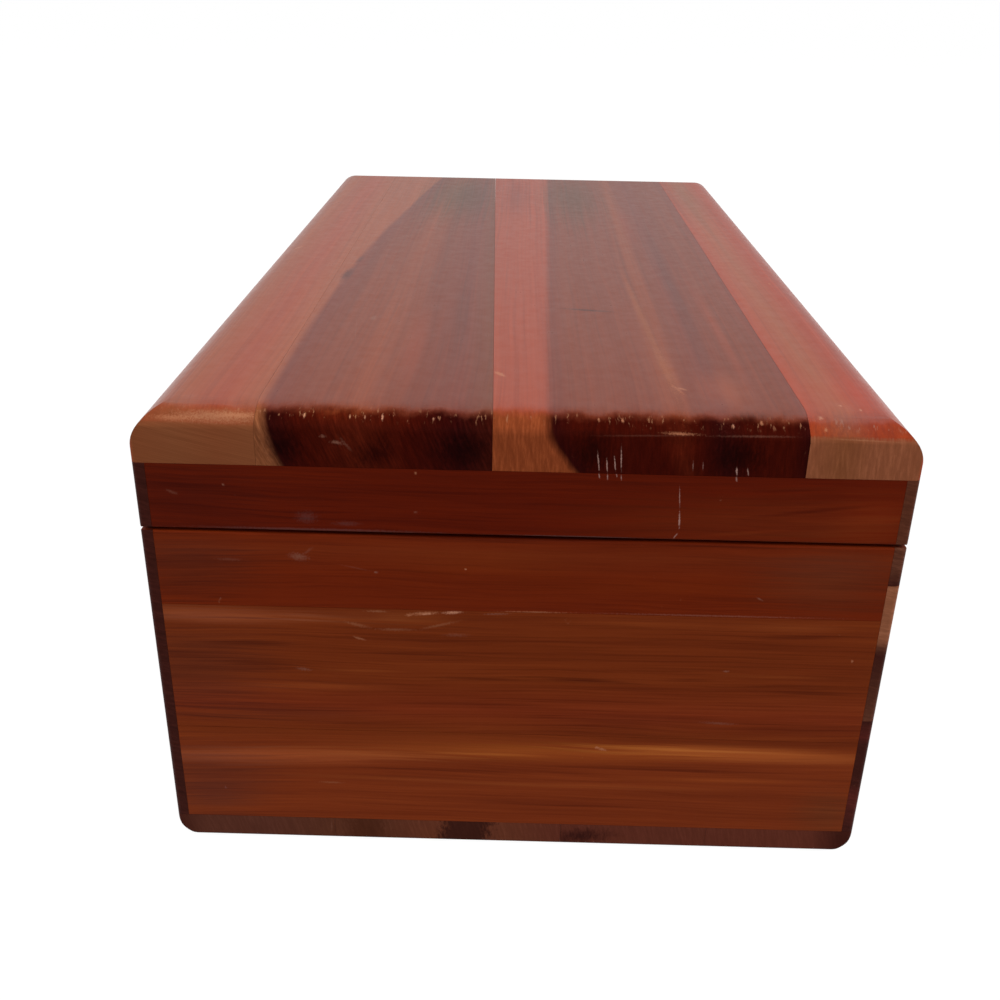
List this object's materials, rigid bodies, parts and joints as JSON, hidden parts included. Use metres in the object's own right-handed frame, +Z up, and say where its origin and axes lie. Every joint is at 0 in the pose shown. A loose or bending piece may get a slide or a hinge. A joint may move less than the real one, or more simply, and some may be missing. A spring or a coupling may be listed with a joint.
{
  "type": "miniature hope chest",
  "caption": "Small cedar keepsake chest of glued boards, with a lid hinged at the back, a slotted lid stay and a small lock let into the front.",
  "frame": {"origin": "centre of the flat underside, on the surface that the chest stands on", "axes": "+Z up, +X along the length towards the right-hand end, -Y towards the front with the keyhole, +Y towards the hinged back"},
  "size_m": [0.2286, 0.1305, 0.0864],
  "materials": {
    "lid_sapwood": "glossy lacquered cedar, pinkish sapwood",
    "lid_heartwood": "glossy lacquered cedar, dark maroon heartwood",
    "wall_cedar": "glossy lacquered cedar, red-brown heartwood",
    "bottom_cedar": "lacquered cedar, dull brown",
    "hinge_brass": "aged polished brass",
    "screw_brass": "aged brass",
    "lock_brass": "satin brass",
    "steel": "plain steel"
  },
  "bodies": {
    "chest": {"bottom_board_1": "bottom_cedar", "bottom_board_2": "bottom_cedar", "bottom_board_3": "bottom_cedar", "bottom_board_4": "bottom_cedar", "front_wall_lower": "wall_cedar", "front_wall_middle": "wall_cedar", "front_wall_upper": "wall_cedar", "back_wall_lower": "wall_cedar", "back_wall_middle": "wall_cedar", "back_wall_upper": "wall_cedar", "right_end_lower": "wall_cedar", "right_end_middle": "wall_cedar", "right_end_upper": "wall_cedar", "left_end_lower": "wall_cedar", "left_end_middle": "wall_cedar", "left_end_upper": "wall_cedar", "hinge_right_body_leaf": "hinge_brass", "hinge_right_pin": "steel", "hinge_right_body_screw_1": "screw_brass", "hinge_right_body_screw_2": "screw_brass", "hinge_left_body_leaf": "hinge_brass", "hinge_left_pin": "steel", "hinge_left_body_screw_1": "screw_brass", "hinge_left_body_screw_2": "screw_brass", "stay_body_washer": "screw_brass", "stay_body_screw": "screw_brass", "lock_case": "lock_brass", "lock_cover": "lock_brass", "lock_spring": "steel", "keyhole_liner": "lock_brass", "lock_screw_1": "screw_brass", "lock_screw_2": "screw_brass", "lock_screw_3": "screw_brass", "lock_screw_4": "screw_brass"},
    "lid": {"lid_top_board_1": "lid_sapwood", "lid_top_board_2": "lid_heartwood", "lid_top_board_3": "lid_sapwood", "lid_top_board_4": "lid_heartwood", "lid_rim_front": "wall_cedar", "lid_rim_back": "wall_cedar", "lid_rim_right_end": "wall_cedar", "lid_rim_left_end": "wall_cedar", "hinge_right_lid_leaf": "hinge_brass", "hinge_right_lid_screw_1": "screw_brass", "hinge_right_lid_screw_2": "screw_brass", "hinge_left_lid_leaf": "hinge_brass", "hinge_left_lid_screw_1": "screw_brass", "hinge_left_lid_screw_2": "screw_brass", "stay_lid_washer": "screw_brass", "stay_lid_screw": "screw_brass", "strike_plate": "lock_brass", "strike_screw_1": "screw_brass", "strike_screw_2": "screw_brass"},
    "stay_arm": {"stay_arm": "hinge_brass"},
    "lock_bolt": {"lock_bolt": "steel"}
  },
  "joints": [
    {"name": "lid_hinge", "type": "hinge", "parent": "chest", "child": "lid", "pos_m": [0, 0.0654, 0.06495], "axis": [-1, 0, 0], "range_deg": [0, 100]},
    {"name": "stay_swing", "type": "hinge", "parent": "lid", "child": "stay_arm", "pos_m": [0.10466, 0.036, 0.07095], "axis": [-1, 0, 0], "range_deg": [-50, 0]},
    {"name": "lock_bolt_slide", "type": "slide", "parent": "chest", "child": "lock_bolt", "axis": [1, 0, 0], "range_m": [0, 0.0034]}
  ],
  "couplings": [
    {"joint": "stay_swing", "follows": "lid_hinge", "ratio": -0.5}
  ]
}
